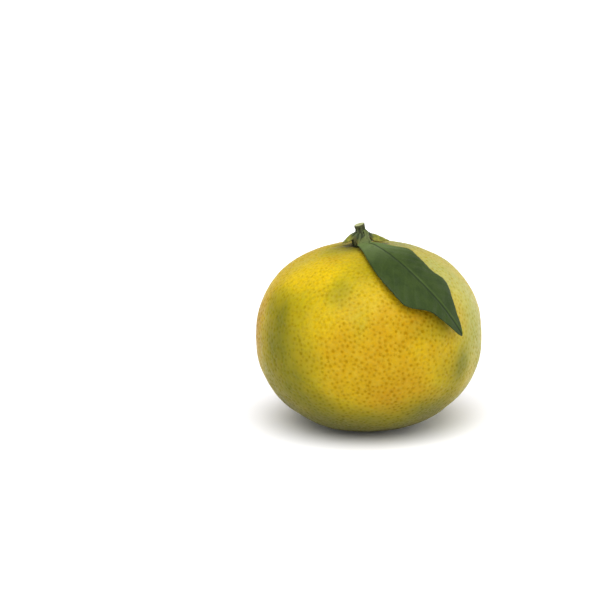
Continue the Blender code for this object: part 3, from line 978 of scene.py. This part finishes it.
def build_leaf():
    points = np.array(PETIOLE_PATH + RIB_PATH)
    run = np.r_[0.0, np.cumsum(np.linalg.norm(np.diff(points, axis=0), axis=1))]
    path = np.column_stack((run, points))
    start = run[len(PETIOLE_PATH) - 1]
    total = run[-1]
    length = total - start + RIB_START
    offset = start - RIB_START

    u = np.linspace(0.0, 1.0, HALF_COLUMNS)
    ramp = 0.72 * u**1.25 + 0.28 * (1.0 - (1.0 - u) ** 2.4)
    shares = np.concatenate((-ramp[:0:-1], ramp))
    across = len(shares)
    stations = np.concatenate(
        (
            np.linspace(0.0, start - 0.12, 46),
            start + (total - 0.12 - start) * np.linspace(0.0, 1.0, LEAF_ROWS) ** 1.02,
        )
    )
    grain = ripples(51, 1.3)
    quilt = ripples(52, 3.4)
    upper_rows, under_rows = [], []
    marks = {key: [] for key in ("rib", "vein", "under", "margin", "along", "across")}
    for t in stations:
        row = np.full(across, t)
        if t < start - 0.05:
            m, _, normal, side = rib_station(path, row)
            grow = float(step(start - 1.6, start, t))
            bulge = np.sqrt(np.clip(1.0 - shares**2, 0.0, 1.0))
            upper_half = 0.42 * bulge * (1 - 0.25 * grow)
            under_half = 0.55 * bulge
            # a shallow channel along the top of the petiole
            upper_half = upper_half - 0.10 * bell(shares / 0.3)
            wing = PETIOLE_HALF * (1.0 + 0.10 * math.sin(t * 1.7))
            spread = float(step(start - 2.3, start + 0.1, t))
            wing = wing + spread * np.where(shares > 0, 3.3, 0.25)
            mid = m + (shares * wing)[:, None] * side
            mid[:, 2] += 0.02 * grain(mid)
            upper = mid + upper_half[:, None] * normal
            under = mid - under_half[:, None] * normal
            rib, vein = np.ones(across) * 0.6, np.zeros(across)
            along, reach = np.full(across, t - start), shares * wing
            margin = np.abs(shares) ** 6
        else:
            mid, normal, reach, half = blade_points(path, row, shares, offset, length)
            along = row - start
            share = (t - start) / (total - start)
            fade = math.exp(-((t - start) / 2.2))
            vein, swell, _ = vein_pattern(along, reach)
            rib_width = 0.42 * (1.0 - 0.65 * share) + 0.12
            rib = bell(reach / rib_width)
            inner = step(1.0, 0.80, np.abs(shares))
            groove = -0.26 * (1.0 - 0.55 * share) * bell(reach / (rib_width * 1.2))
            crown = 0.03 * (1.0 - 0.5 * share) * bell(reach / (rib_width * 0.45))
            quilted = -0.055 * swell * inner - 0.045 * vein * inner
            fine = 0.012 * grain(mid) + 0.05 * quilt(mid) * inner
            edge_half = np.sqrt(np.clip(1.0 - np.abs(shares) ** 40, 0.0, 1.0))
            skin = 0.15 * edge_half
            upper = mid + (skin + groove + crown + quilted + fine)[:, None] * normal
            keel = (0.32 * (1 - share) + 0.10 + 0.35 * fade) * bell(
                reach / (rib_width * 1.1)
            )
            raised = 0.05 * vein * inner
            under = mid - (skin - quilted - fine + keel + raised)[:, None] * normal
            margin = np.abs(shares) ** 14
        upper_rows.append(upper)
        under_rows.append(under)
        for key, value in (
            ("rib", rib), ("vein", vein), ("margin", margin),
            ("along", along), ("across", reach),
        ):  # fmt: skip
            marks[key].append(np.r_[value, value[-2:0:-1]])
        side_mark = np.zeros(across)
        side_mark[[0, -1]] = 0.5
        marks["under"].append(np.r_[side_mark, np.ones(across - 2)])
    rings = [np.vstack((a, b[-2:0:-1])) for a, b in zip(upper_rows, under_rows)]
    count = 2 * across - 2
    rows = len(rings)
    tip = rings[-1].mean(0) + 0.10 * unit(rings[-1].mean(0) - rings[-2].mean(0))
    foot = rings[0].mean(0)
    all_points = np.vstack(rings + [tip[None, :], foot[None, :]])
    faces = ring_faces(rows, count)
    last = (rows - 1) * count
    for k in range(count):
        j = (k + 1) % count
        faces.append((last + k, last + j, rows * count))
        faces.append((j, k, rows * count + 1))
    numbers = {
        key: np.r_[np.concatenate(value), value[-1][0], value[0][0]]
        for key, value in marks.items()
    }
    made = make_object("leaf_blade", all_points, faces, numbers)
    made.data.materials.append(leaf_material())
    return made


def leaf_material():
    s = Shader("mandarin_leaf")
    rib, vein, under = s.number("rib"), s.number("vein"), s.number("under")
    margin, along, across = s.number("margin"), s.number("along"), s.number("across")
    where = s.node("ShaderNodeCombineXYZ", {0: along, 1: across, 2: 0.0}).outputs[0]
    patch = s.noise(0.00022, 4.0, 0.55, 0.3, where)
    cells = s.noise(0.0016, 3.0, 0.6, 0.0, where)
    dots = s.node(
        "ShaderNodeTexVoronoi", {"Vector": where, "Scale": 1.7, "Randomness": 0.9}
    ).outputs["Distance"]
    # fine net of veins between the side veins
    net = s.node(
        "ShaderNodeTexVoronoi",
        {"Vector": where, "Scale": 1.15, "Randomness": 0.85},
        feature="DISTANCE_TO_EDGE",
    ).outputs["Distance"]
    net = s.spread(net, 0.0, 0.09, 1.0, 0.0)
    top = s.mix(s.spread(patch, 0.3, 0.7), (0.021, 0.040, 0.005), (0.036, 0.060, 0.008))
    top = s.mix(s.spread(cells, 0.3, 0.75, 0.0, 0.35), top, (0.026, 0.050, 0.007))
    top = s.mix(s.math("MULTIPLY", net, 0.12), top, (0.055, 0.088, 0.018))
    top = s.mix(s.math("MULTIPLY", vein, 0.20), top, (0.058, 0.092, 0.020))
    top = s.mix(s.spread(along, 0.0, 17.0, 0.95, 0.0), top, (0.125, 0.175, 0.058))
    top = s.mix(s.spread(along, 16.0, 42.0, 0.0, 0.30), top, (0.016, 0.032, 0.004))
    top = s.mix(s.spread(dots, 0.05, 0.16, 0.25, 0.0), top, (0.060, 0.090, 0.018))
    # painted shade darkens the midrib's groove, and a painted highlight makes a paler green line
    # beside it
    aside = s.math("ABSOLUTE", across)
    pale_and_sheen = s.math("ABSOLUTE", s.math("ADD", across, 0.55))
    pale_and_sheen = s.math("MULTIPLY", s.spread(pale_and_sheen, 0.45, 0.0, 0.0, 0.36), s.spread(along, 8, 26))
    top = s.mix(pale_and_sheen, top, (0.078, 0.120, 0.026))
    # painted shade in the midrib's groove
    top = s.mix(s.spread(aside, 0.40, 0.05, 0.0, 0.85), top, (0.012, 0.024, 0.005))
    below = s.mix(s.spread(cells, 0.3, 0.7), (0.085, 0.120, 0.045), (0.110, 0.150, 0.060))
    below = s.mix(s.math("MULTIPLY", vein, 0.6), below, (0.155, 0.19, 0.08))
    below = s.mix(s.spread(rib, 0.3, 0.9), below, (0.18, 0.21, 0.09))
    below = s.mix(s.math("MULTIPLY", net, 0.3), below, (0.06, 0.09, 0.03))
    colour = s.mix(s.spread(under, 0.25, 0.75), top, below)
    colour = s.mix(s.spread(margin, 0.25, 0.9, 0.0, 0.4), colour, (0.022, 0.032, 0.008))
    colour = s.mix(s.spread(along, -0.6, 0.6, 0.8, 0.0), colour, (0.100, 0.118, 0.040))
    rough = s.math(
        "ADD",
        s.spread(cells, 0.3, 0.7, 0.42, 0.52),
        s.spread(under, 0.25, 0.75, 0.0, 0.22),
    )
    relief = s.bump(cells, 0.03, 0.6)
    relief = s.bump(net, -0.02, 0.7, relief)
    s.feed(
        Base_Color=colour,
        Roughness=rough,
        Normal=relief,
        Specular_IOR_Level=0.22,
    )
    return s.material


# ------------------------------------------------------------------ the stage
def build_stage():
    bm = bmesh.new()
    bmesh.ops.create_circle(bm, cap_ends=True, segments=96, radius=6.0)
    mesh = bpy.data.meshes.new("table")
    bm.to_mesh(mesh)
    bm.free()
    table = bpy.data.objects.new("table", mesh)
    bpy.context.scene.collection.objects.link(table)
    s = Shader("white_table")
    s.feed(Base_Color=(0.89, 0.89, 0.92, 1.0), Roughness=0.8, Specular_IOR_Level=0.1)
    mesh.materials.append(s.material)


def add_sun(name, strength, angle, azimuth, elevation, colour=(1, 1, 1)):
    """Light from a soft disc in the sky: azimuth from +X, in degrees."""
    light = bpy.data.lights.new(name, "SUN")
    light.energy = strength
    light.angle = math.radians(angle)
    light.color = colour
    lamp = bpy.data.objects.new(name, light)
    a, e = math.radians(azimuth), math.radians(elevation)
    direction = Vector((math.cos(e) * math.cos(a), math.cos(e) * math.sin(a), math.sin(e)))
    lamp.rotation_euler = direction.to_track_quat("Z", "Y").to_euler()
    lamp.location = direction
    bpy.context.scene.collection.objects.link(lamp)


def build_light():
    scene = bpy.context.scene
    world = bpy.data.worlds.new("studio")
    scene.world = world
    world.use_nodes = True
    tree = world.node_tree
    background = tree.nodes["Background"]
    background.inputs["Color"].default_value = (1.0, 1.0, 1.0, 1.0)
    look = tree.nodes.new("ShaderNodeTexCoord").outputs["Generated"]

    def toward(x, y, z):
        made = tree.nodes.new("ShaderNodeVectorMath")
        made.operation = "DOT_PRODUCT"
        tree.links.new(look, made.inputs[0])
        made.inputs[1].default_value = (x, y, z)
        return made.outputs["Value"]

    def spread(value, low, high, to_low, to_high):
        made = tree.nodes.new("ShaderNodeMapRange")
        made.interpolation_type = "SMOOTHSTEP"
        tree.links.new(value, made.inputs[0])
        for index, number in ((1, low), (2, high), (3, to_low), (4, to_high)):
            made.inputs[index].default_value = number
        return made.outputs[0]

    def join(operation, a, b):
        made = tree.nodes.new("ShaderNodeMath")
        made.operation = operation
        tree.links.new(a, made.inputs[0])
        tree.links.new(b, made.inputs[1])
        return made.outputs[0]

    # an even dome, brighter low down and on the right, dimmer behind on the left
    band = spread(toward(0, 0, 1), 0.02, 0.34, 1.10, 0.62)
    shade = spread(toward(-0.70, 0.42, 0.58), 0.45, 0.95, 1.0, 0.60)
    wall = spread(toward(0.92, 0.36, 0.14), 0.60, 0.98, 0.0, 1.2)
    front = spread(toward(-0.25, -0.92, 0.30), 0.45, 0.95, 0.0, 0.60)
    strength = join("ADD", join("ADD", join("MULTIPLY", band, shade), wall), front)
    tree.links.new(strength, background.inputs["Strength"])
    add_sun("key", 2.9, 62, 264, 60)
    add_sun("left lamp", 0.04, 9, 169, 8)
    add_sun("right lamp", 0.16, 9, 4, 6)
    scene.view_settings.view_transform = "Standard"
    scene.view_settings.look = "None"
    scene.view_settings.exposure = 0.0
    scene.view_settings.gamma = 0.88


def build_camera():
    """A long lens, 14 degrees above the fruit, which stands right of centre."""
    distance, elevation = 486.0, math.radians(14.0)
    pitch, yaw = math.radians(12.747), math.radians(2.4215)
    data = bpy.data.cameras.new("camera")
    data.lens = 100.0
    data.sensor_width = 36.0
    data.clip_start = 0.01
    data.clip_end = 100.0
    camera = bpy.data.objects.new("camera", data)
    place = CENTRE + (
        0.0,
        -distance * math.cos(elevation),
        distance * math.sin(elevation),
    )
    camera.location = tuple(place * MM)
    forward = Vector(
        (
            -math.sin(yaw) * math.cos(pitch),
            math.cos(yaw) * math.cos(pitch),
            -math.sin(pitch),
        )
    )
    right = Vector((math.cos(yaw), math.sin(yaw), 0.0))
    up = right.cross(forward)
    camera.rotation_euler = (
        Matrix((right, up, -forward)).transposed().to_euler()
    )
    bpy.context.scene.collection.objects.link(camera)
    bpy.context.scene.camera = camera


def main():
    build_camera()
    build_stage()
    build_light()
    for build, node, slot in (
        (build_fruit, "fruit", "peel"),
        (build_calyx, "calyx", "sepal"),
        (build_stem, "stem", "bark"),
        (build_leaf, "leaf", "leaf_skin"),
    ):
        piece = build()
        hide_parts(node)
        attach(piece, "root")
    bpy.context.view_layer.update()


main()
